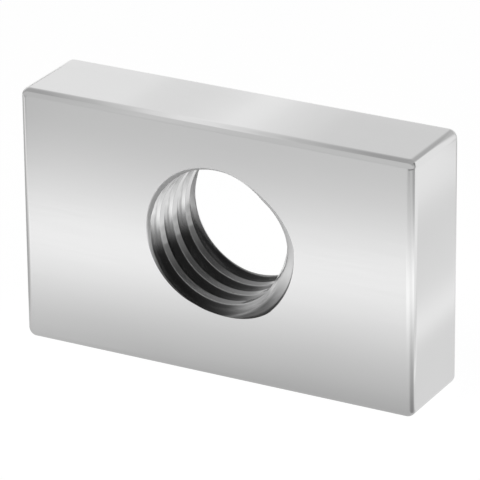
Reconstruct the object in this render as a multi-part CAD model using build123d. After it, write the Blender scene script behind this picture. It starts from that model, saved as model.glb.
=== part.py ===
from build123d import *
import math
import os

# Plain rectangular slot nut: one bright metal block, every outer edge rounded, with one
# right-hand metric thread cut straight through its two big faces.
#
# Frame (millimetres): +X runs along the nut, +Z up across its width, and the thread's axis
# runs along Y, with the front face at -Y.  The middle of the block is at the origin, so the
# nut stands on its long narrow side, the way it is carried on edge into a slot.

# ---- block ---------------------------------------------------------------------------------
length = 21.0          # along X
width = 13.0           # along Z, across the slot
thickness = 4.8        # along Y, the length of thread
corner_r = 0.45        # round on the four corners of the big faces
edge_r = 0.38          # round where the big faces meet the narrow sides

# ---- metric coarse thread, M8 x 1.25 --------------------------------------------------------
thread_d = 8.0         # nominal diameter, at the bottom of the groove
thread_height = 0.555  # from the crest, which is the plain bore, out to the bottom of the groove
pitch = 1.25           # one turn along the axis
root_share = 0.125     # flat at the bottom of the groove, as a share of the pitch
flank_angle = 60.0     # included angle of the groove
crest_turn = 0.44      # how far behind the front face a crest crosses +X, in turns
hole_rise = 0.6        # the hole's centre above the middle of the width

# ---- mouths of the hole ---------------------------------------------------------------------
mouth_rim = 0.18       # width of the steep countersink, measured along the face
mouth_angle = 60.0     # included angle of the countersink, on both faces

# ---- clearances for the cutting bodies ------------------------------------------------------
groove_overlap = 0.1   # how far the groove cutter reaches into the plain bore
end_turns = 2.0        # turns of the groove cutter beyond each face
face_overrun = 1.0     # how far the bore cutter runs out of each face

# The bore and the groove's width where it opens into the bore follow from the sizes above.
major_r = thread_d / 2
bore_r = major_r - thread_height
flank_slope = math.tan(math.radians(flank_angle / 2))
root_half = pitch * root_share / 2
mouth_half = root_half + thread_height * flank_slope
mouth_depth = mouth_rim / math.tan(math.radians(mouth_angle / 2))


def rounded_block():
    """The block with its upright corners rounded first and both face edges after them."""
    block = Box(length, thickness, width)
    block = fillet(block.edges().filter_by(Axis.Y), corner_r)
    faces = block.faces().filter_by(Axis.Y)
    return fillet(faces.edges(), edge_r)


def groove_section():
    """Axial section of the groove: X is the radius, Z the thread's own axis."""
    inner_r = bore_r - groove_overlap
    inner_half = mouth_half + groove_overlap * flank_slope
    outline = Polyline(
        (inner_r, 0, -inner_half),
        (major_r, 0, -root_half),
        (major_r, 0, root_half),
        (inner_r, 0, inner_half),
        close=True,
    )
    return make_face(outline)


def groove_cutter():
    """Right-hand helical ridge that cuts the groove, longer than the hole at both ends."""
    first = (crest_turn - 0.5 - end_turns) * pitch
    run = thickness + 2 * end_turns * pitch
    path = Helix(pitch=pitch, height=run, radius=major_r)
    ridge = sweep(groove_section(), path=path, is_frenet=True)
    return Pos(0, 0, first) * ridge


def mouth_cutter():
    """Cone that sinks a mouth: half of it stands proud of the face, half cuts into it."""
    return Cone(bore_r + 2 * mouth_rim, bore_r, 2 * mouth_depth)


def hole_tools():
    """What the tools take out, drawn along +Z from the front face: groove, bore, two mouths."""
    bore = Pos(0, 0, thickness / 2) * Cylinder(bore_r, thickness + 2 * face_overrun)
    back_mouth = Pos(0, 0, thickness) * Rot(180, 0, 0) * mouth_cutter()
    return [groove_cutter(), bore, mouth_cutter(), back_mouth]


def slot_nut():
    """The finished nut, with the groove cut first and the plain bore after it."""
    nut = rounded_block()
    for tool in hole_tools():
        nut -= Pos(0, -thickness / 2, hole_rise) * Rot(-90, 0, 0) * tool
    return nut


os.makedirs("parts", exist_ok=True)
export_step(slot_nut(), "parts/slot_nut_body.step")
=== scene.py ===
import logging
import math
from dataclasses import dataclass, field
from enum import Enum
from typing import Protocol

import bmesh
import bpy
from mathutils import Matrix, Vector


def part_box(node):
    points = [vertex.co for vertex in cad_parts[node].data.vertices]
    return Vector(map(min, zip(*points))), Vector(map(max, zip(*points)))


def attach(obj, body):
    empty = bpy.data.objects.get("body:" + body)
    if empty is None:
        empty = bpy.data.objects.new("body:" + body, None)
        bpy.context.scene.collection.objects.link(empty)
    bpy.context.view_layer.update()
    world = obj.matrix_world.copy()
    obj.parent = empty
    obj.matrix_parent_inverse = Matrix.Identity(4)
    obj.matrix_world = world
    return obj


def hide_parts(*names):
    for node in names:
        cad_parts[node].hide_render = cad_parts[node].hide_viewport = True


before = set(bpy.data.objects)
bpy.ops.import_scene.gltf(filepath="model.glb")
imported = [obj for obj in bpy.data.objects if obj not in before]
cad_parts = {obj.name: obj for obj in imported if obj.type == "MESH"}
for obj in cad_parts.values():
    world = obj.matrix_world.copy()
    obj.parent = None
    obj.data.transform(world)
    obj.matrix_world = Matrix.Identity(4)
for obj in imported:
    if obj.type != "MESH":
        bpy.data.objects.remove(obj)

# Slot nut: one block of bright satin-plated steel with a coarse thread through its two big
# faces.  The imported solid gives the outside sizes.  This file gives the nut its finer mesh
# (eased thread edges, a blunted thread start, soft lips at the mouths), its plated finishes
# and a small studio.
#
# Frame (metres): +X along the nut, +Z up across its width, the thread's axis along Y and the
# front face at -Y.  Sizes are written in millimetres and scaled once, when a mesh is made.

MM = 0.001
# In millimetres: how close a place counts as met, and how close two vertices become one.
CLOSE = 1e-4
MERGE = 1e-5
LOG = logging.getLogger("slot_nut")
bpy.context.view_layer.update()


class Region(Enum):
    """Parts of the nut's skin that are finished differently; the value is the material slot."""

    FACE = 0
    SIDE = 1
    THREAD = 2


class Mouth(Enum):
    """The two ends of the threaded hole; the value is the sign of their face's Y."""

    FRONT = -1
    BACK = 1


# ---- meshes --------------------------------------------------------------------------------


def show(name: str, data: bpy.types.ID) -> bpy.types.Object:
    """Put an object with the given data into the scene and return it."""
    made = bpy.data.objects.new(name, data)
    bpy.context.scene.collection.objects.link(made)
    return made


def show_mesh(name: str, bm: bmesh.types.BMesh) -> bpy.types.Object:
    """Turn bm into an object in the scene, free bm and return the object."""
    mesh = bpy.data.meshes.new(name)
    bm.to_mesh(mesh)
    bm.free()
    return show(name, mesh)


def round_edges(
    bm: bmesh.types.BMesh, edges: list[bmesh.types.BMEdge], radius: float, steps: int, clamp: bool = False
) -> None:
    """Round the given edges of bm to a quarter circle, clamped where they would meet if asked."""
    bmesh.ops.bevel(
        bm,
        geom=edges,
        offset=radius,
        offset_type="OFFSET",
        segments=steps,
        profile=0.5,
        affect="EDGES",
        clamp_overlap=clamp,
        material=-1,
    )


@dataclass
class Block:
    """The rounded rectangular block, in millimetres, before the hole is made in it."""

    length: float
    width: float
    thickness: float
    corner_r: float = 0.45
    edge_r: float = 0.38
    corner_steps: int = 10
    edge_steps: int = 8

    def build(self, bm: bmesh.types.BMesh) -> None:
        """Make the block in the empty bm and leave its two big faces open for the hole."""
        bmesh.ops.create_cube(bm, size=1.0)
        bmesh.ops.scale(bm, vec=(self.length, self.thickness, self.width), verts=bm.verts)
        uprights = [e for e in bm.edges if abs(e.verts[0].co.y - e.verts[1].co.y) > 0.5 * self.thickness]
        round_edges(bm, uprights, self.corner_r, self.corner_steps)
        bm.edges.index_update()
        rims = {e for f in self.big_faces(bm) for e in f.edges}
        round_edges(bm, sorted(rims, key=lambda e: e.index), self.edge_r, self.edge_steps)
        bmesh.ops.delete(bm, geom=self.big_faces(bm), context="FACES_ONLY")

    def big_faces(self, bm: bmesh.types.BMesh) -> list[bmesh.types.BMFace]:
        """Return the flat front and back faces of bm."""
        half = 0.5 * self.thickness - CLOSE
        return [f for f in bm.faces if abs(f.calc_center_median().y) > half]

    def normal(self, at: Vector) -> Vector:
        """Return the outward normal of the rounded block at a point on its skin."""
        core_x = 0.5 * self.length - self.corner_r
        core_z = 0.5 * self.width - self.corner_r
        out = Vector((at.x - min(max(at.x, -core_x), core_x), 0.0, at.z - min(max(at.z, -core_z), core_z)))
        lift = min(max(abs(at.y) - 0.5 * self.thickness + self.edge_r, 0.0) / self.edge_r, 1.0)
        turned = out.normalized() * math.sqrt(1.0 - lift * lift)
        return (turned + Vector((0.0, math.copysign(lift, at.y), 0.0))).normalized()


@dataclass
class Thread:
    """Right-hand metric thread through the block, with its axis along Y.

    Lengths are in millimetres and angles in degrees.
    """

    thickness: float
    thread_d: float = 8.0
    bore_d: float = 6.89
    pitch: float = 1.25
    root_share: float = 0.125
    flank_angle: float = 60.0
    crest_turn: float = 0.44
    hole_rise: float = 0.6
    mouth_rim: float = 0.18
    mouth_angle: float = 60.0
    # The open start at each face: how much wider the mouth is there, and how far it reaches.
    start_ease: float = 0.28
    start_reach: float = 0.25
    # The start's blunted part: its width at the face and its slope, then its place and its reach
    # along the thread in turns.
    blunt_width: float = 0.5
    blunt_angle: float = 57.0
    blunt_turn: float = 0.075
    blunt_reach: float = 0.18
    # The small rounds at the faces, the crest and the root, and how finely they are made.
    edge_ease: float = 0.03
    crest_ease: float = 0.012
    crest_steps: int = 3
    root_ease: float = 0.03
    root_steps: int = 2
    sharp_angle: float = 28.65
    edge_cuts: tuple[float, ...] = (0.13, 0.4, 1.0)
    blunt_cuts: int = 16
    steps: int = 120

    @property
    def bore_r(self) -> float:
        """Radius of the thread's crests."""
        return 0.5 * self.bore_d

    @property
    def major_r(self) -> float:
        """Radius of the bottom of the groove."""
        return 0.5 * self.thread_d

    @property
    def root_half(self) -> float:
        """Half the flat at the bottom of the groove."""
        return 0.5 * self.pitch * self.root_share

    @property
    def mouth_depth(self) -> float:
        """Depth of the countersink below the face."""
        return self.mouth_rim / math.tan(math.radians(0.5 * self.mouth_angle))

    @property
    def blunt_depth(self) -> float:
        """Depth to which the thread's open start is blunted."""
        return self.blunt_width / math.tan(math.radians(0.5 * self.blunt_angle))

    @property
    def groove_half(self) -> float:
        """Half the groove's width where it opens into the bore."""
        slope = math.tan(math.radians(0.5 * self.flank_angle))
        return self.root_half + (self.major_r - self.bore_r) * slope

    def build(self, bm: bmesh.types.BMesh) -> None:
        """Add the open thread wall to the open block in bm, cut off at both big faces."""
        keep = set(bm.verts)
        turns = math.ceil(self.thickness / self.pitch) + 2
        self._spin(bm, self._profile(bm), turns)
        wall = [v for v in bm.verts if v not in keep]
        bmesh.ops.remove_doubles(bm, verts=wall, dist=CLOSE)
        self._ease_edges(bm, keep)
        for side in Mouth:
            self._cut(bm, keep, side, 0.0, clear=True)
            for share in self.edge_cuts:
                self._cut(bm, keep, side, share * self.edge_ease, clear=False)
            for cut in range(self.blunt_cuts):
                self._cut(bm, keep, side, (cut + 1) / self.blunt_cuts * self.blunt_depth, clear=False)
        self._shape_lips([v for v in bm.verts if v not in keep])

    def _profile(self, bm: bmesh.types.BMesh) -> list[bmesh.types.BMVert]:
        """Draw one pitch of the thread's section at +X in bm and return its vertices in order."""
        start = (self.crest_turn - 2.0) * self.pitch - 0.5 * self.thickness
        mid = 0.5 * self.pitch
        points = [
            (self.bore_r, 0.0),
            (self.bore_r, mid - self.groove_half),
            (self.major_r, mid - self.root_half),
            (self.major_r, mid + self.root_half),
            (self.bore_r, mid + self.groove_half),
            (self.bore_r, self.pitch),
        ]
        chain = [bm.verts.new((r, start + y, self.hole_rise)) for r, y in points]
        for a, b in zip(chain, chain[1:]):
            bm.edges.new((a, b))
        return chain

    def _spin(self, bm: bmesh.types.BMesh, chain: list[bmesh.types.BMVert], turns: int) -> None:
        """Wind the section round the axis and along it by one pitch for every turn.

        Args:
            bm: The mesh that holds the section.
            chain: The section's vertices.
            turns: How many whole turns to wind.
        """
        edges = {e for v in chain for e in v.link_edges}
        bmesh.ops.spin(
            bm,
            geom=chain + sorted(edges, key=lambda e: e.verts[0].co.y + e.verts[1].co.y),
            cent=(0.0, 0.0, self.hole_rise),
            axis=(0.0, 1.0, 0.0),
            dvec=(0.0, self.pitch / self.steps, 0.0),
            angle=2.0 * math.pi * turns,
            steps=self.steps * turns,
        )

    def _radius(self, v: bmesh.types.BMVert) -> float:
        """Return a vertex's distance from the thread's axis."""
        return math.hypot(v.co.x, v.co.z - self.hole_rise)

    def _ease_edges(self, bm: bmesh.types.BMesh, keep: set[bmesh.types.BMVert]) -> None:
        """Round the long helical edges of crest and root, the root's a little more.

        Args:
            bm: The mesh that holds the wall.
            keep: The block's vertices, which are left alone.
        """
        edges_of = (
            (self.bore_r, self.crest_ease, self.crest_steps),
            (self.major_r, self.root_ease, self.root_steps),
        )
        for radius, ease, steps in edges_of:
            helical = [
                e
                for e in bm.edges
                if e.verts[0] not in keep
                and len(e.link_faces) == 2
                and all(abs(self._radius(v) - radius) < 10.0 * CLOSE for v in e.verts)
                and e.calc_face_angle(0.0) > math.radians(self.sharp_angle)
            ]
            round_edges(bm, helical, ease, steps, clamp=True)

    def _cut(
        self, bm: bmesh.types.BMesh, keep: set[bmesh.types.BMVert], side: Mouth, depth: float, clear: bool
    ) -> None:
        """Slice the wall along a plane below one face.

        Args:
            bm: The mesh that holds the wall.
            keep: The block's vertices, which are left alone.
            side: The face to measure from.
            depth: The plane's depth below that face.
            clear: Whether to drop what lies beyond the plane.
        """
        verts = [v for v in bm.verts if v not in keep]
        edges = {e for v in verts for e in v.link_edges}
        faces = {f for v in verts for f in v.link_faces}
        level = side.value * (0.5 * self.thickness - depth)
        bmesh.ops.bisect_plane(
            bm,
            geom=verts + list(edges) + list(faces),
            dist=MERGE,
            plane_co=(0.0, level, 0.0),
            plane_no=(0.0, side.value, 0.0),
            clear_outer=clear,
        )

    def _shape_lips(self, wall: list[bmesh.types.BMVert]) -> None:
        """Open the wall out near each face.

        A steep countersink runs all round, the thread's open start is wider and blunted, and a
        small round ends the wall at the face.

        Args:
            wall: The wall's vertices, which are moved outwards from the axis.
        """
        for v in wall:
            depth = 0.5 * self.thickness - abs(v.co.y)
            if depth >= self.blunt_depth:
                continue
            open_, blunt = self._start(v, Mouth.FRONT if v.co.y < 0.0 else Mouth.BACK)
            rise = max(1.0 - depth / self.mouth_depth, 0.0)
            fall = 1.0 - depth / self.blunt_depth
            r = self._radius(v)
            least = self.bore_r + max(self.mouth_rim * rise, self.blunt_width * (fall - 1.0 + blunt))
            wide = max(r + self.start_ease * open_ * rise, least)
            soft = max(1.0 - depth / self.edge_ease, 0.0)
            wide += self.edge_ease * (1.0 - math.sqrt(1.0 - min(soft, 1.0) ** 2))
            v.co.x *= wide / r
            v.co.z = self.hole_rise + (v.co.z - self.hole_rise) * wide / r

    def _start(self, v: bmesh.types.BMVert, side: Mouth) -> tuple[float, float]:
        """Look up the thread's start at a vertex's angle.

        Args:
            v: The vertex.
            side: The face that the start opens through.

        Returns:
            How open and how blunt the start is there, each from 0 to 1.
        """
        turn = math.atan2(self.hole_rise - v.co.z, v.co.x) / (2.0 * math.pi)
        level = (side.value + 1) * 0.5 * self.thickness
        phase = (level / self.pitch - self.crest_turn - turn) % 1.0 - 0.5
        off = abs(phase) * self.pitch
        past = abs(-side.value * phase - self.blunt_turn)
        shares = (
            (self.start_reach - off) / (self.start_reach - self.root_half),
            1.0 - past / self.blunt_reach,
        )
        open_, blunt = (min(max(share, 0.0), 1.0) for share in shares)
        return open_ * open_ * (3.0 - 2.0 * open_), blunt * blunt * (3.0 - 2.0 * blunt)


class Finish(Protocol):
    """What every finish offers."""

    def material(self) -> bpy.types.Material:
        """Build the finish and return it."""


@dataclass
class SlotNut:
    """The whole nut: the block, its thread and the two big faces that join them.

    The margin is added to the thread's reach, in millimetres, when faces are sorted by region,
    and edges that turn by less than the smooth angle, in degrees, are shaded smooth.
    """

    block: Block
    thread: Thread
    finishes: dict[Region, Finish]
    margin: float = 0.02
    smooth_angle: float = 32.0

    def make(self) -> bpy.types.Object:
        """Build the nut's one closed mesh and dress it.

        Returns:
            The finished object, at the origin, riding on the nut's body.
        """
        bm = bmesh.new()
        self.block.build(bm)
        self.thread.build(bm)
        for side in Mouth:
            self._close_face(bm, side)
        bmesh.ops.remove_doubles(bm, verts=bm.verts, dist=MERGE)
        bmesh.ops.recalc_face_normals(bm, faces=bm.faces)
        self._mark(bm)
        loose = [e for e in bm.edges if len(e.link_faces) != 2]
        LOG.info("slot_nut: %d faces, %d open edges", len(bm.faces), len(loose))
        bmesh.ops.scale(bm, vec=(MM, MM, MM), verts=bm.verts)
        nut = show_mesh("slot_nut", bm)
        for region in Region:
            nut.data.materials.append(self.finishes[region].material())
        self._true_normals(nut.data)
        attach(nut, "root")
        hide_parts("slot_nut_body")
        return nut

    def _close_face(self, bm: bmesh.types.BMesh, side: Mouth) -> None:
        """Fill the flat ring between the block's rim and the hole.

        Args:
            bm: The mesh that holds the block and the thread's wall.
            side: The face to close.
        """
        level = side.value * 0.5 * self.block.thickness
        open_edges = [e for e in bm.edges if len(e.link_faces) == 1]
        rim = [e for e in open_edges if all(abs(v.co.y - level) < CLOSE for v in e.verts)]
        out = (0.0, side.value, 0.0)
        bmesh.ops.triangle_fill(bm, edges=rim, use_beauty=True, use_dissolve=False, normal=out)

    def _mark(self, bm: bmesh.types.BMesh) -> None:
        """Give each face its region and smooth shading, and keep real corners sharp."""
        half = 0.5 * self.block.thickness - CLOSE
        reach = self.thread.major_r + self.thread.start_ease + self.margin
        for f in bm.faces:
            f.smooth = True
            near = all(math.hypot(v.co.x, v.co.z - self.thread.hole_rise) < reach for v in f.verts)
            if abs(f.calc_center_median().y) > half:
                f.material_index = Region.FACE.value
            else:
                f.material_index = Region.THREAD.value if near else Region.SIDE.value
        for e in bm.edges:
            e.smooth = e.calc_face_angle(0.0) < math.radians(self.smooth_angle)

    def _true_normals(self, mesh: bpy.types.Mesh) -> None:
        """Set the shading normals.

        Flats and rounds get the normals of their own shape.  On the thread each vertex takes the
        mean of the thread's faces round it, weighted by area, so that the broad ones lead.

        Args:
            mesh: The finished mesh, in metres.
        """
        pull = {}
        for polygon in mesh.polygons:
            if polygon.material_index == Region.THREAD.value:
                for index in polygon.vertices:
                    pull[index] = pull.get(index, Vector()) + polygon.normal * polygon.area
        normals = []
        for polygon in mesh.polygons:
            for loop in polygon.loop_indices:
                index = mesh.loops[loop].vertex_index
                at = mesh.vertices[index].co / MM
                if polygon.material_index == Region.THREAD.value:
                    normals.append(pull[index].normalized())
                elif polygon.material_index == Region.FACE.value:
                    normals.append(Vector((0.0, math.copysign(1.0, at.y), 0.0)))
                else:
                    normals.append(self.block.normal(at))
        mesh.normals_split_custom_set(normals)


# ---- node building -------------------------------------------------------------------------

Socket = bpy.types.NodeSocket
Stops = tuple[tuple[float, float], ...]


def grey(level: float) -> tuple[float, float, float, float]:
    """Return an opaque grey of one level."""
    return (level, level, level, 1.0)


class Graph:
    """A short way to add and join nodes in one node tree."""

    def __init__(self, tree: bpy.types.NodeTree) -> None:
        """Start on a tree, keeping what it already holds."""
        self.tree = tree

    def add(self, kind: str, settings: dict | None = None, **inputs: object) -> bpy.types.Node:
        """Add a node, set its properties, and set or join its inputs.

        Args:
            kind: The node's type name, without the ShaderNode prefix.
            settings: Properties of the node itself.
            inputs: Socket values or sockets; an underscore stands for a space, and i0, i1 for a place.

        Returns:
            The new node.
        """
        name = kind if kind.startswith("Node") else "ShaderNode" + kind
        node = self.tree.nodes.new(name)
        for key, value in (settings or {}).items():
            setattr(node, key, value)
        for key, value in inputs.items():
            place = int(key[1:]) if key[0] == "i" and key[1:].isdigit() else key.replace("_", " ")
            self.join(value, node.inputs[place])
        return node

    def join(self, source: object, target: Socket) -> None:
        """Link an output socket to an input socket, or set the input to a plain value."""
        if isinstance(source, Socket):
            self.tree.links.new(source, target)
        else:
            target.default_value = source

    def position(self) -> Socket:
        """Add the object's own coordinates in millimetres and return their socket."""
        where = self.add("TexCoord")
        per_metre = (1.0 / MM, 1.0 / MM, 1.0 / MM)
        return self.add("Mapping", None, Vector=where.outputs["Object"], Scale=per_metre).outputs[0]

    def math(self, operation: str, *values: object) -> Socket:
        """Add a Math node on the given values or sockets and return its result."""
        node = self.add("Math", {"operation": operation}, **{f"i{i}": v for i, v in enumerate(values)})
        return node.outputs[0]

    def fit(self, value: Socket, low: float, high: float, to_low: float, to_high: float) -> Socket:
        """Carry a value from one span to another, smoothly and without overshoot.

        Args:
            value: The socket to read.
            low: Where the span that is read starts.
            high: Where it ends.
            to_low: The result at its start.
            to_high: The result at its end.

        Returns:
            The result's socket.
        """
        span = {"From_Min": low, "From_Max": high, "To_Min": to_low, "To_Max": to_high}
        node = self.add("MapRange", {"interpolation_type": "SMOOTHSTEP"}, Value=value, **span)
        return node.outputs["Result"]

    def ramp(self, value: Socket, stops: Stops, ease: str = "EASE") -> Socket:
        """Turn a value from 0 to 1 into a grey level through the given stops.

        Args:
            value: The socket to read.
            stops: Pairs of place and grey level, lowest place first.
            ease: The ramp's interpolation.

        Returns:
            The ramp's colour socket.
        """
        node = self.add("ValToRGB", None, Fac=value)
        node.color_ramp.interpolation = ease
        elements = node.color_ramp.elements
        while len(elements) < len(stops):
            elements.new(1.0)
        for element, (place, level) in zip(elements, stops):
            element.position = place
            element.color = grey(level)
        return node.outputs["Color"]

    def blend(self, share: object, first: object, second: object, mode: str = "MIX") -> Socket:
        """Blend two colours.

        Args:
            share: How much of the second colour shows, from 0 to 1.
            first: The first colour or its socket.
            second: The second colour or its socket.
            mode: The way to blend.

        Returns:
            The blended colour's socket.
        """
        node = self.add("Mix", {"data_type": "RGBA", "blend_type": mode}, i0=share, i6=first, i7=second)
        return node.outputs[2]

    def choose(self, share: object, first: object, second: object) -> Socket:
        """Blend two plain numbers by a share from 0 to 1 and return the result's socket."""
        return self.add("Mix", {"data_type": "FLOAT"}, i0=share, i2=first, i3=second).outputs[0]

    def bump(self, shader: bpy.types.Node, height: Socket, strength: float, depth: float) -> None:
        """Press a pattern into a shader's normal, to a depth in millimetres."""
        node = self.add("Bump", None, Strength=strength, Distance=depth * MM, Height=height)
        self.join(node.outputs[0], shader.inputs["Normal"])


Group = tuple[bpy.types.NodeTree, Graph, dict[str, Socket], bpy.types.Node]


def effect_group(name: str, inputs: dict[str, float | None], outputs: tuple[str, ...]) -> Group:
    """Start a shader node group with named sockets.

    Args:
        name: The group's name.
        inputs: Socket names with a default number, or None for a vector.
        outputs: The names of its outputs, each a plain number.

    Returns:
        The group, its graph, its input sockets by name and its output node.
    """
    tree = bpy.data.node_groups.new(name, "ShaderNodeTree")
    for label, default in inputs.items():
        kind = "NodeSocketVector" if default is None else "NodeSocketFloat"
        socket = tree.interface.new_socket(label, in_out="INPUT", socket_type=kind)
        if default is not None:
            socket.default_value = default
    for label in outputs:
        tree.interface.new_socket(label, in_out="OUTPUT", socket_type="NodeSocketFloat")
    graph = Graph(tree)
    entry = graph.add("NodeGroupInput")
    leave = graph.add("NodeGroupOutput")
    return tree, graph, {s.name: s for s in entry.outputs if s.name}, leave


# ---- effects shared by the finishes ---------------------------------------------------------


def brushed_lines() -> bpy.types.NodeTree:
    """Fine lines that run along X, as left by a belt, on a position in millimetres."""
    tree, g, pins, leave = effect_group(
        "brushed_lines",
        {"Position": None, "Lines per mm": 9.0, "Stretch": 40.0},
        ("Lines", "Broad"),
    )
    coarser = (0.4, 0.16, 0.16)
    along = g.math("DIVIDE", pins["Lines per mm"], pins["Stretch"])
    scale = g.add("CombineXYZ", None, X=along, Y=pins["Lines per mm"], Z=pins["Lines per mm"])
    fine = g.add("VectorMath", {"operation": "MULTIPLY"}, i0=pins["Position"], i1=scale.outputs[0])
    lines = g.add("TexNoise", None, Vector=fine.outputs[0], Scale=1.0, Detail=3.0, Roughness=0.6)
    slow = g.add("VectorMath", {"operation": "MULTIPLY"}, i0=fine.outputs[0], i1=coarser)
    broad = g.add("TexNoise", None, Vector=slow.outputs[0], Scale=1.0, Detail=2.0, Roughness=0.5)
    g.join(lines.outputs["Fac"], leave.inputs["Lines"])
    g.join(broad.outputs["Fac"], leave.inputs["Broad"])
    return tree


def fine_grain() -> bpy.types.NodeTree:
    """The plating's close grain and its slow cloudy change, on a position in millimetres."""
    tree, g, pins, leave = effect_group(
        "fine_grain",
        {"Position": None, "Grains per mm": 14.0, "Clouds per mm": 0.35},
        ("Grain", "Cloud"),
    )
    at = pins["Position"]
    grain = g.add("TexNoise", None, Vector=at, Scale=pins["Grains per mm"], Detail=2.0, Roughness=0.7)
    cloud = g.add("TexNoise", None, Vector=at, Scale=pins["Clouds per mm"], Detail=3.0, Roughness=0.5)
    g.join(grain.outputs["Fac"], leave.inputs["Grain"])
    g.join(cloud.outputs["Fac"], leave.inputs["Cloud"])
    return tree


def tool_marks() -> bpy.types.NodeTree:
    """Fine marks that the tap leaves along the helix, and where on the thread a point lies.

    The marks follow the thread's section from the middle of one groove to the middle of the next,
    so they have no seam round the hole.  Radius and Up are distances from the thread's axis, Lip
    is 1 close under either face, and Low is 1 in the lower part of the hole, fading to its right.
    """
    tree, g, pins, leave = effect_group(
        "tool_marks",
        {
            "Position": None,
            "Pitch": 1.25,
            "Rise": 0.6,
            "Start": -1.85,
            "Half thickness": 2.4,
            "Marks per pitch": 9.0,
            "Marks per mm along": 0.35,
        },
        ("Marks", "Radius", "Lip", "Low", "Up"),
    )
    lip_start, lip_end = 0.26, 0.36
    low_top, low_bottom = -0.9, -1.7
    low_start, low_end = 0.2, 2.2
    parts = g.add("SeparateXYZ", None, Vector=pins["Position"])
    x, y = parts.outputs["X"], parts.outputs["Y"]
    up = g.math("SUBTRACT", parts.outputs["Z"], pins["Rise"])
    turn = g.math("DIVIDE", g.math("ARCTAN2", g.math("MULTIPLY", up, -1.0), x), 2.0 * math.pi)
    depth = g.math("DIVIDE", g.math("SUBTRACT", y, pins["Start"]), pins["Pitch"])
    section = g.math("FRACT", g.math("ADD", g.math("SUBTRACT", depth, turn), 0.5))
    place = g.add(
        "CombineXYZ",
        None,
        X=g.math("MULTIPLY", section, pins["Marks per pitch"]),
        Y=g.math("MULTIPLY", x, pins["Marks per mm along"]),
        Z=g.math("MULTIPLY", up, pins["Marks per mm along"]),
    )
    marks = g.add("TexNoise", None, Vector=place.outputs[0], Scale=1.0, Detail=4.0, Roughness=0.65)
    radius = g.math("SQRT", g.math("ADD", g.math("POWER", x, 2.0), g.math("POWER", up, 2.0)))
    below = g.math("SUBTRACT", pins["Half thickness"], g.math("ABSOLUTE", y))
    lower = g.fit(up, low_bottom, low_top, 1.0, 0.0)
    g.join(marks.outputs["Fac"], leave.inputs["Marks"])
    g.join(radius, leave.inputs["Radius"])
    g.join(g.fit(below, lip_start, lip_end, 1.0, 0.0), leave.inputs["Lip"])
    # Low masks the painted shade that darkens the thread's colour low in the hole.
    g.join(g.math("MULTIPLY", lower, g.fit(x, low_start, low_end, 1.0, 0.0)), leave.inputs["Low"])
    g.join(up, leave.inputs["Up"])
    return tree


@dataclass
class Effects:
    """The shared node groups, built once."""

    groups: dict[str, bpy.types.NodeTree] = field(default_factory=dict)

    def build(self) -> "Effects":
        """Make every group and return this store."""
        for make in (brushed_lines, fine_grain, tool_marks):
            tree = make()
            self.groups[tree.name] = tree
        return self

    def place(self, graph: Graph, name: str, **values: object) -> bpy.types.bpy_prop_collection:
        """Place one group in a material's graph.

        Args:
            graph: The material's graph.
            name: The group's name.
            values: Its inputs, with an underscore for each space.

        Returns:
            The group's outputs.
        """
        return graph.add("Group", {"node_tree": self.groups[name]}, **values).outputs


# ---- finishes ------------------------------------------------------------------------------


def start_material(name: str) -> tuple[bpy.types.Material, Graph, bpy.types.bpy_prop_collection]:
    """Make a material with nodes and return it, its graph and its nodes."""
    made = bpy.data.materials.new(name)
    made.use_nodes = True
    return made, Graph(made.node_tree), made.node_tree.nodes


def start_metal(name: str) -> tuple[bpy.types.Material, Graph, bpy.types.Node, Socket]:
    """Make a metal material and return it, its graph, its shader and a position in millimetres."""
    made, g, nodes = start_material(name)
    shader = nodes["Principled BSDF"]
    shader.inputs["Metallic"].default_value = 1.0
    return made, g, shader, g.position()


def start_glow(name: str) -> tuple[bpy.types.Material, Graph, Socket]:
    """Make a material with no shader yet and return it, its graph and its surface socket."""
    made, g, nodes = start_material(name)
    nodes.remove(nodes["Principled BSDF"])
    return made, g, nodes["Material Output"].inputs["Surface"]


@dataclass(frozen=True)
class GroundFace:
    """The two big faces: satin plating over faint lines that run along the nut."""

    effects: Effects
    tone: float = 0.80
    contrast: float = 0.01
    broad_share: float = 0.6
    roughness: float = 0.24
    rougher: float = 0.012
    smoother: float = 0.008
    line_span: tuple[float, float] = (0.3, 0.7)
    line_share: float = 0.8
    line_depth: float = 0.0004
    line_strength: float = 0.25

    def material(self) -> bpy.types.Material:
        """Build the finish and return it."""
        made, g, shader, at = start_metal("ground_face")
        lines = self.effects.place(g, "brushed_lines", Position=at)
        grain = self.effects.place(g, "fine_grain", Position=at)
        broad = g.math("MULTIPLY", lines["Broad"], self.broad_share)
        patches = g.math("ADD", broad, g.math("MULTIPLY", grain["Cloud"], 1.0 - self.broad_share))
        tone = g.blend(patches, grey(self.tone - self.contrast), grey(self.tone + self.contrast))
        g.join(tone, shader.inputs["Base Color"])
        low, high = self.roughness - self.smoother, self.roughness + self.rougher
        rough = g.fit(lines["Lines"], *self.line_span, low, high)
        g.join(rough, shader.inputs["Roughness"])
        ridges = g.math("MULTIPLY", lines["Lines"], self.line_share)
        height = g.math("ADD", ridges, g.math("MULTIPLY", grain["Grain"], 1.0 - self.line_share))
        g.bump(shader, height, self.line_strength, self.line_depth)
        return made


@dataclass(frozen=True)
class RolledSide:
    """The narrow sides and the rounded edges: smooth plating with a close grain."""

    effects: Effects
    tone: float = 0.79
    contrast: float = 0.015
    roughness: float = 0.13
    grain_depth: float = 0.0006
    grain_strength: float = 0.15

    def material(self) -> bpy.types.Material:
        """Build the finish and return it."""
        made, g, shader, at = start_metal("rolled_side")
        grain = self.effects.place(g, "fine_grain", Position=at)
        tone = g.blend(grain["Cloud"], grey(self.tone - self.contrast), grey(self.tone + self.contrast))
        g.join(tone, shader.inputs["Base Color"])
        shader.inputs["Roughness"].default_value = self.roughness
        g.bump(shader, grain["Grain"], self.grain_strength, self.grain_depth)
        return made


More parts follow.
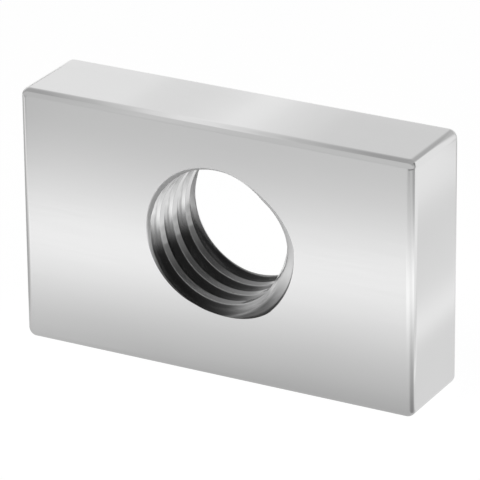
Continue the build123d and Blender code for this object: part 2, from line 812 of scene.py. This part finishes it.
@dataclass(frozen=True)
class CutThread:
    """The tapped wall: bright crests and mouths, streaked grooves and painted shade low in the hole.

    Lengths are in millimetres.  A span gives the heights over the thread's axis between which a
    change happens, and a spread gives a tone's darkest and lightest share.
    """

    effects: Effects
    thread: Thread
    crest_tone: float = 0.80
    crest_reach: tuple[float, float] = (0.01, 0.075)
    lip_tone: float = 0.92
    groove_tone: float = 0.64
    groove_spread: tuple[float, float] = (0.78, 1.2)
    # Painted shade: a darker colour for the grooves low in the hole and for the lip below the axis.
    painted_shade_tone: float = 0.22
    painted_shade_spread: tuple[float, float] = (0.75, 1.2)
    painted_shade_lip_span: tuple[float, float] = (-3.2, -0.6)
    streak_span: tuple[float, float] = (0.38, 0.62)
    roughness: float = 0.22
    between_streaks: float = 0.04
    on_streaks: float = -0.03
    crest_polish: float = 0.08
    lip_dulling: tuple[float, float] = (0.12, 0.5)
    dulling_span: tuple[float, float] = (-1.0, 1.5)
    mark_depth: float = 0.0025
    mark_strength: float = 0.6

    def material(self) -> bpy.types.Material:
        """Build the finish and return it."""
        made, g, shader, at = start_metal("cut_thread")
        marks = self._marks(g, at)
        lip, up = marks["Lip"], marks["Up"]
        near, past = (self.thread.bore_r + reach for reach in self.crest_reach)
        inner = g.fit(marks["Radius"], near, past, 1.0, 0.0)
        crest = g.math("MULTIPLY", inner, g.math("SUBTRACT", 1.0, lip))
        streak = g.fit(marks["Marks"], *self.streak_span, 0.0, 1.0)
        groove = self._streaked(g, streak, self.groove_tone, self.groove_spread)
        clean = g.blend(lip, g.blend(crest, groove, grey(self.crest_tone)), grey(self.lip_tone))
        # Painted shade: the grooves low in the hole, fading to its right, and the lip below the axis take a
        # darker colour.
        painted_shade_colour = self._streaked(g, streak, self.painted_shade_tone, self.painted_shade_spread)
        painted_shade_low_lip = g.math("MULTIPLY", lip, g.fit(up, *self.painted_shade_lip_span, 1.0, 0.0))
        in_groove = g.math("SUBTRACT", 1.0, g.math("MAXIMUM", crest, lip))
        painted_shade_share = g.math("MAXIMUM", g.math("MULTIPLY", marks["Low"], in_groove), painted_shade_low_lip)
        g.join(g.blend(painted_shade_share, clean, painted_shade_colour), shader.inputs["Base Color"])
        between, on = self.roughness + self.between_streaks, self.roughness + self.on_streaks
        rough = g.fit(streak, 0.0, 1.0, between, on)
        rough = g.math("SUBTRACT", rough, g.math("MULTIPLY", crest, self.crest_polish))
        dull = g.math("MULTIPLY", lip, g.fit(up, *self.dulling_span, *self.lip_dulling))
        g.join(g.math("ADD", rough, dull), shader.inputs["Roughness"])
        g.bump(shader, marks["Marks"], self.mark_strength, self.mark_depth)
        return made

    def _marks(self, g: Graph, at: Socket) -> bpy.types.bpy_prop_collection:
        """Place the tool marks on this thread and return their outputs."""
        thread = self.thread
        half = 0.5 * thread.thickness
        values = {
            "Pitch": thread.pitch,
            "Rise": thread.hole_rise,
            "Start": thread.crest_turn * thread.pitch - half,
            "Half_thickness": half,
        }
        return self.effects.place(g, "tool_marks", Position=at, **values)

    @staticmethod
    def _streaked(g: Graph, streak: Socket, tone: float, spread: tuple[float, float]) -> Socket:
        """Return a tone that goes from its darkest to its lightest share with the streaks."""
        dark, light = spread
        return g.blend(streak, grey(tone * dark), grey(tone * light))


# ---- studio --------------------------------------------------------------------------------


@dataclass(frozen=True)
class Fade:
    """A soft step in a place: nothing at the start and its share from the end on."""

    start: float
    end: float
    share: float = 1.0

    def on(self, g: Graph, place: Socket) -> Socket:
        """Return the step's socket for a place's socket."""
        return g.fit(place, self.start, self.end, 0.0, self.share)


@dataclass(frozen=True)
class Card:
    """A glowing card near the nut that only its metal sees, with sizes in millimetres.

    A level card lies over the nut and an upright one stands beside it.  The centre's height is
    measured from the floor.  The glow changes along X through the near stops, and from there to
    the far stops across the fade.
    """

    name: str
    centre: tuple[float, float, float]
    size: tuple[float, float]
    near: Stops
    far: Stops = ()
    fade: Fade = Fade(0.0, 1.0)
    upright: bool = False

    def build(self, floor: float) -> None:
        """Make the card and its glow over a floor at the given height, in millimetres."""
        bm = bmesh.new()
        bmesh.ops.create_grid(bm, x_segments=1, y_segments=1, size=0.5)
        bmesh.ops.scale(bm, vec=(self.size[0] * MM, self.size[1] * MM, 1.0), verts=bm.verts)
        if self.upright:
            turn = Matrix.Rotation(math.radians(90.0), 3, "X")
            bmesh.ops.rotate(bm, cent=(0.0, 0.0, 0.0), matrix=turn, verts=bm.verts)
        x, y, height = self.centre
        bmesh.ops.translate(bm, vec=Vector((x, y, floor + height)) * MM, verts=bm.verts)
        card = show_mesh(self.name, bm)
        for ray in ("camera", "diffuse", "transmission", "volume_scatter", "shadow"):
            setattr(card, "visible_" + ray, False)
        card.data.materials.append(self._glow())

    def _glow(self) -> bpy.types.Material:
        """Return the card's glowing material."""
        made, g, surface = start_glow(self.name)
        parts = g.add("SeparateXYZ", None, Vector=g.position()).outputs
        colour = self._along(g, parts["X"], self.near)
        if self.far:
            colour = g.blend(self.fade.on(g, parts["Y"]), colour, self._along(g, parts["X"], self.far))
        g.join(g.add("Emission", None, Color=colour, Strength=1.0).outputs[0], surface)
        return made

    def _along(self, g: Graph, x: Socket, stops: Stops) -> Socket:
        """Return the glow along X through the given stops."""
        low = self.centre[0] - 0.5 * self.size[0]
        place = g.math("DIVIDE", g.math("SUBTRACT", x, low), self.size[0])
        return g.ramp(place, [((mm - low) / self.size[0], level) for mm, level in stops])


@dataclass(frozen=True)
class Flag:
    """A soft dark area of the surroundings: its direction, and the level by closeness to it."""

    aim: tuple[float, float, float]
    stops: Stops


@dataclass(frozen=True)
class Lamp:
    """A square soft lamp that faces the nut, with its place and size in millimetres."""

    name: str
    at: tuple[float, float, float]
    size: float
    power: float

    def build(self) -> None:
        """Hang the lamp."""
        data = bpy.data.lights.new(self.name, "AREA")
        data.shape = "SQUARE"
        data.size = self.size * MM
        data.energy = self.power
        lamp = show(self.name, data)
        lamp.location = Vector(self.at) * MM
        lamp.rotation_euler = (-Vector(self.at)).to_track_quat("-Z", "Y").to_euler()
        lamp.visible_glossy = False


TOP_CARD = Card(
    "top_card",
    centre=(-8.0, 2.75, 17.0),
    size=(44.0, 20.5),
    near=(
        (-30.0, 0.43), (-12.1, 0.43), (-9.3, 0.55), (-7.3, 0.67), (-5.3, 0.84), (-3.8, 0.92), (-2.3, 0.9),
        (-0.8, 0.82), (0.7, 0.7), (2.7, 0.57), (4.7, 0.49), (6.7, 0.41), (14.0, 0.44),
    ),
    far=(
        (-30.0, 0.92), (-10.3, 0.92), (-9.6, 0.86), (-7.0, 0.85), (-6.0, 0.875), (-5.0, 0.91), (-4.2, 0.965),
        (-3.5, 0.96), (-3.0, 0.93), (-2.0, 0.865), (-1.0, 0.83), (0.0, 0.8), (0.7, 0.755), (8.0, 0.755),
        (9.0, 0.64), (10.2, 0.5), (12.6, 0.48), (14.0, 0.66),
    ),
    fade=Fade(-2.0, 5.0),
)
FRONT_CARD = Card(
    "front_card",
    centre=(-5.0, -5.5, 14.55),
    size=(50.0, 4.9),
    near=(
        (-30.0, 0.57), (-11.0, 0.58), (-8.0, 0.62), (-5.0, 0.68), (-2.0, 0.66), (1.4, 0.625), (7.4, 0.635),
    ),
    upright=True,
)
BACK_CARD = Card(
    "back_card",
    centre=(-5.25, 5.0, 12.75),
    size=(33.5, 2.9),
    near=((-22.0, 0.92), (-9.0, 0.92), (-5.0, 0.9), (0.0, 0.95), (4.0, 0.85), (11.5, 0.76)),
    upright=True,
)
END_CARD = Card(
    "end_card",
    centre=(24.0, 8.0, 16.5),
    size=(30.0, 13.0),
    near=((9.0, 0.55), (13.2, 0.57), (13.9, 0.75), (14.5, 0.94), (39.0, 0.94)),
    upright=True,
)
FRONT_FLAG = Flag(
    (0.15, -0.93, 0.32),
    ((0.0, 0.5), (0.5, 0.5), (0.63, 0.36), (0.79, 0.12), (0.91, 0.06), (0.98, 0.04), (1.0, 0.04)),
)
BACK_FLAG = Flag(
    (0.26, 0.81, 0.52),
    ((0.0, 0.5), (0.42, 0.5), (0.57, 0.28), (0.75, 0.2), (0.9, 0.13), (0.98, 0.065), (1.0, 0.06)),
)
KEY_LAMP = Lamp("key", (-30.0, -60.0, 110.0), 60.0, 0.02)
FILL_LAMP = Lamp("fill", (90.0, -30.0, 70.0), 60.0, 0.01)


@dataclass
class Studio:
    """Pale floor, white surroundings, soft lamps and cards, none of it part of the nut.

    Places on the floor are in millimetres.  Stops pair a distance with the floor's glow there:
    the ring by the distance from the nut, the end and the band by the distance past its right
    end.  A fade with a share below 1 dims the far floor by that share, and the others say where
    on the floor a change happens.
    """

    floor_z: float
    half_length: float
    half_thickness: float
    floor_half: float = 4000.0
    floor_matt: float = 0.2
    floor_white: float = 0.965
    unseen_world: float = 0.05
    # The ring is a painted pool of light on the floor, seen only in the metal, darker close to the nut as
    # painted contact shade.
    ring: Stops = (
        (0.0, 0.51), (1.0, 0.55), (2.2, 0.615), (4.0, 0.68), (6.0, 0.765), (8.0, 0.88), (10.5, 1.06),
        (13.0, 1.22), (15.5, 1.22), (18.0, 1.05), (20.5, 0.9), (23.0, 0.775), (25.5, 0.665), (28.0, 0.615),
        (40.0, 0.62),
    )
    ring_lean: float = 0.18
    lean_span: tuple[float, float] = (-12.0, 3.0)
    band: Stops = (
        (0.0, 0.808), (3.1, 0.808), (3.5, 0.845), (3.9, 0.925), (4.3, 1.0), (4.7, 1.0), (5.2, 0.935),
        (6.2, 0.85), (7.2, 0.83), (8.5, 0.81), (9.5, 0.785), (10.6, 0.79), (11.1, 0.855), (11.5, 0.95),
        (12.0, 0.965), (20.0, 0.965),
    )
    band_x: Fade = Fade(-11.5, -10.5)
    band_y: Fade = Fade(-2.35, -1.5)
    end: Stops = (
        (0.0, 0.55), (4.0, 0.66), (8.0, 0.81), (12.0, 0.92), (16.0, 1.04), (20.5, 1.0), (22.0, 0.93),
        (23.2, 0.86), (24.4, 0.81), (25.6, 0.75), (27.0, 0.7), (40.0, 0.65),
    )
    end_ratio: Fade = Fade(0.1, 1.3)
    least_out: float = 0.1
    back_near: Fade = Fade(15.0, 19.0, 0.42)
    back_far: Fade = Fade(29.0, 40.0, 0.18)
    back_x: Fade = Fade(0.0, 6.0)
    back_slant: Fade = Fade(5.0, 9.5)
    front_far: Fade = Fade(-31.3, -37.5, 0.6)
    front_x: Fade = Fade(2.0, 10.0)
    left_far: Fade = Fade(1.5, 5.0, 0.24)
    left_slant: float = 0.54
    cards: tuple[Card, ...] = (TOP_CARD, FRONT_CARD, BACK_CARD, END_CARD)
    flags: tuple[Flag, ...] = (FRONT_FLAG, BACK_FLAG)
    lamps: tuple[Lamp, ...] = (KEY_LAMP, FILL_LAMP)

    def build(self) -> None:
        """Set up everything round the nut."""
        scene = bpy.context.scene
        scene.view_settings.view_transform = "Standard"
        self._surroundings()
        self._floor()
        for card in self.cards:
            card.build(self.floor_z / MM)
        for lamp in self.lamps:
            lamp.build()

    def _surroundings(self) -> None:
        """White to the eye; metal sees a light studio with two soft dark flags, front and back."""
        world = bpy.data.worlds.new("studio")
        world.use_nodes = True
        bpy.context.scene.world = world
        g = Graph(world.node_tree)
        background = world.node_tree.nodes["Background"]
        background.inputs["Color"].default_value = grey(1.0)
        where = g.add("TexCoord").outputs["Generated"]
        shades = [self._shade(g, where, flag) for flag in self.flags]
        path = g.add("LightPath").outputs
        metal = g.choose(path["Is Glossy Ray"], self.unseen_world, g.math("MINIMUM", *shades))
        g.join(g.choose(path["Is Camera Ray"], metal, 1.0), background.inputs["Strength"])

    @staticmethod
    def _shade(g: Graph, where: Socket, flag: Flag) -> Socket:
        """Return one flag's level for the direction that a ray leaves in."""
        aim = Vector(flag.aim).normalized()
        dot = g.add("VectorMath", {"operation": "DOT_PRODUCT"}, i0=where, i1=aim)
        return g.ramp(g.math("MAXIMUM", dot.outputs["Value"], 0.0), flag.stops, "LINEAR")

    def _floor(self) -> None:
        """A wide pale floor, white to the eye, whose glow in metal changes round the nut."""
        bm = bmesh.new()
        bmesh.ops.create_grid(bm, x_segments=1, y_segments=1, size=self.floor_half * MM)
        bmesh.ops.translate(bm, vec=(0.0, 0.0, self.floor_z), verts=bm.verts)
        floor = show_mesh("floor", bm)
        made, g, surface = start_glow("pale_floor")
        floor.data.materials.append(made)
        path = g.add("LightPath").outputs
        glossy = path["Is Glossy Ray"]
        matt = g.add("BsdfDiffuse", None, Color=grey(self.floor_matt)).outputs[0]
        colour = g.blend(glossy, grey(self.floor_white), self._glow(g))
        emit = g.add("Emission", None, Color=colour, Strength=1.0).outputs[0]
        eye = g.add("AddShader", None, i0=matt, i1=emit).outputs[0]
        direct = g.math("MAXIMUM", path["Is Camera Ray"], glossy)
        shown = g.add("MixShader", None, i0=direct, i1=matt, i2=eye).outputs[0]
        whole = g.add("MixShader", None, i0=glossy, i1=shown, i2=emit).outputs[0]
        g.join(whole, surface)

    def _glow(self, g: Graph) -> Socket:
        """Return the floor's glow in metal.

        A ring of painted light lies round the nut, with painted shade close to it, and is shaded
        once more past its right end.  Bands of painted light lie right beside that end, and the far
        floor is dimmer.
        """
        parts = g.add("SeparateXYZ", None, Vector=g.position()).outputs
        x, y = parts["X"], parts["Y"]
        out_x = g.math("MAXIMUM", g.math("SUBTRACT", x, self.half_length), 0.0)
        out_y = g.math("MAXIMUM", g.math("SUBTRACT", g.math("ABSOLUTE", y), self.half_thickness), 0.0)
        away = g.math("SQRT", g.math("ADD", g.math("POWER", out_x, 2.0), g.math("POWER", out_y, 2.0)))
        low, high = self.lean_span
        lean = g.math("MULTIPLY", g.math("MAXIMUM", g.math("MINIMUM", x, high), low), self.ring_lean)
        ring = self._levels(g, g.math("SUBTRACT", away, lean), self.ring)
        ratio = g.math("DIVIDE", out_x, g.math("MAXIMUM", out_y, self.least_out))
        past_end = self._levels(g, out_x, self.end)
        ring = g.blend(self.end_ratio.on(g, ratio), ring, past_end, "MULTIPLY")
        beside = g.math("MULTIPLY", self.band_y.on(g, y), self.band_x.on(g, x))
        near = g.blend(beside, ring, self._levels(g, out_x, self.band))
        return g.blend(1.0, near, self._dim(g, x, y, out_y), "MULTIPLY")

    @staticmethod
    def _levels(g: Graph, distance: Socket, stops: Stops) -> Socket:
        """Return the level at a distance through the given stops."""
        reach = stops[-1][0]
        return g.ramp(g.math("DIVIDE", distance, reach), [(mm / reach, level) for mm, level in stops])

    def _dim(self, g: Graph, x: Socket, y: Socket, out_y: Socket) -> Socket:
        """Return how bright the far floor stays, from 0 to 1.

        Args:
            g: The floor material's graph.
            x: The place along the nut.
            y: The place across it.
            out_y: The distance in front of the nut or behind it.
        """
        slant = g.math("MULTIPLY", self.back_slant.on(g, g.math("SUBTRACT", y, x)), self.back_x.on(g, x))
        back = g.math("MULTIPLY", g.math("ADD", self.back_near.on(g, y), self.back_far.on(g, y)), slant)
        front = g.math("MULTIPLY", self.front_far.on(g, y), self.front_x.on(g, x))
        past_left = g.math("SUBTRACT", -self.half_length, x)
        left = g.math("SUBTRACT", past_left, g.math("MULTIPLY", out_y, self.left_slant))
        kept = g.math("SUBTRACT", 1.0, g.math("ADD", back, front))
        return g.math("MULTIPLY", kept, g.math("SUBTRACT", 1.0, self.left_far.on(g, left)))


@dataclass
class Viewpoint:
    """The camera: a long lens, a little above and to the right of the nut's front.

    Angles are in degrees and lengths in millimetres.
    """

    azimuth: float = 28.53
    elevation: float = 23.09
    roll: float = -0.60
    distance: float = 205.57
    lens: float = 323.55
    sensor: float = 36.0
    clip: tuple[float, float] = (10.0, 20000.0)
    aim_right: float = 0.1014
    aim_up: float = -0.2535

    def build(self) -> None:
        """Make the camera and set it as the scene's camera."""
        a, e, roll = (math.radians(v) for v in (self.azimuth, self.elevation, self.roll))
        back = Vector((math.sin(a) * math.cos(e), -math.cos(a) * math.cos(e), math.sin(e)))
        level = Vector((math.cos(a), math.sin(a), 0.0))
        rise = back.cross(level)
        right = level * math.cos(roll) + rise * math.sin(roll)
        up = rise * math.cos(roll) - level * math.sin(roll)
        data = bpy.data.cameras.new("camera")
        data.sensor_width = self.sensor
        data.lens = self.lens
        data.clip_start, data.clip_end = (limit * MM for limit in self.clip)
        camera = show("camera", data)
        place = back * self.distance + right * self.aim_right + up * self.aim_up
        turn = Matrix((right, up, back)).transposed().to_4x4()
        camera.matrix_world = Matrix.Translation(place * MM) @ turn
        bpy.context.scene.camera = camera


# ---- assembly ------------------------------------------------------------------------------


def main() -> None:
    """Build the nut, its finishes and the studio, and note the size of the dressed model."""
    logging.basicConfig(level=logging.INFO, format="%(name)s: %(message)s")
    low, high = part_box("slot_nut_body")
    length, thickness, width = ((b - a) / MM for a, b in zip(low, high))
    thread = Thread(thickness)
    effects = Effects().build()
    finishes = {
        Region.FACE: GroundFace(effects),
        Region.SIDE: RolledSide(effects),
        Region.THREAD: CutThread(effects, thread),
    }
    nut = SlotNut(Block(length, width, thickness), thread, finishes).make()
    LOG.info("%s rides on the nut's one body", nut.name)
    Studio(low[2], 0.5 * length, 0.5 * thickness).build()
    LOG.info("floor, surroundings, cards and lamps are in place")
    Viewpoint().build()
    bpy.context.view_layer.update()


if __name__ == "__main__":
    main()
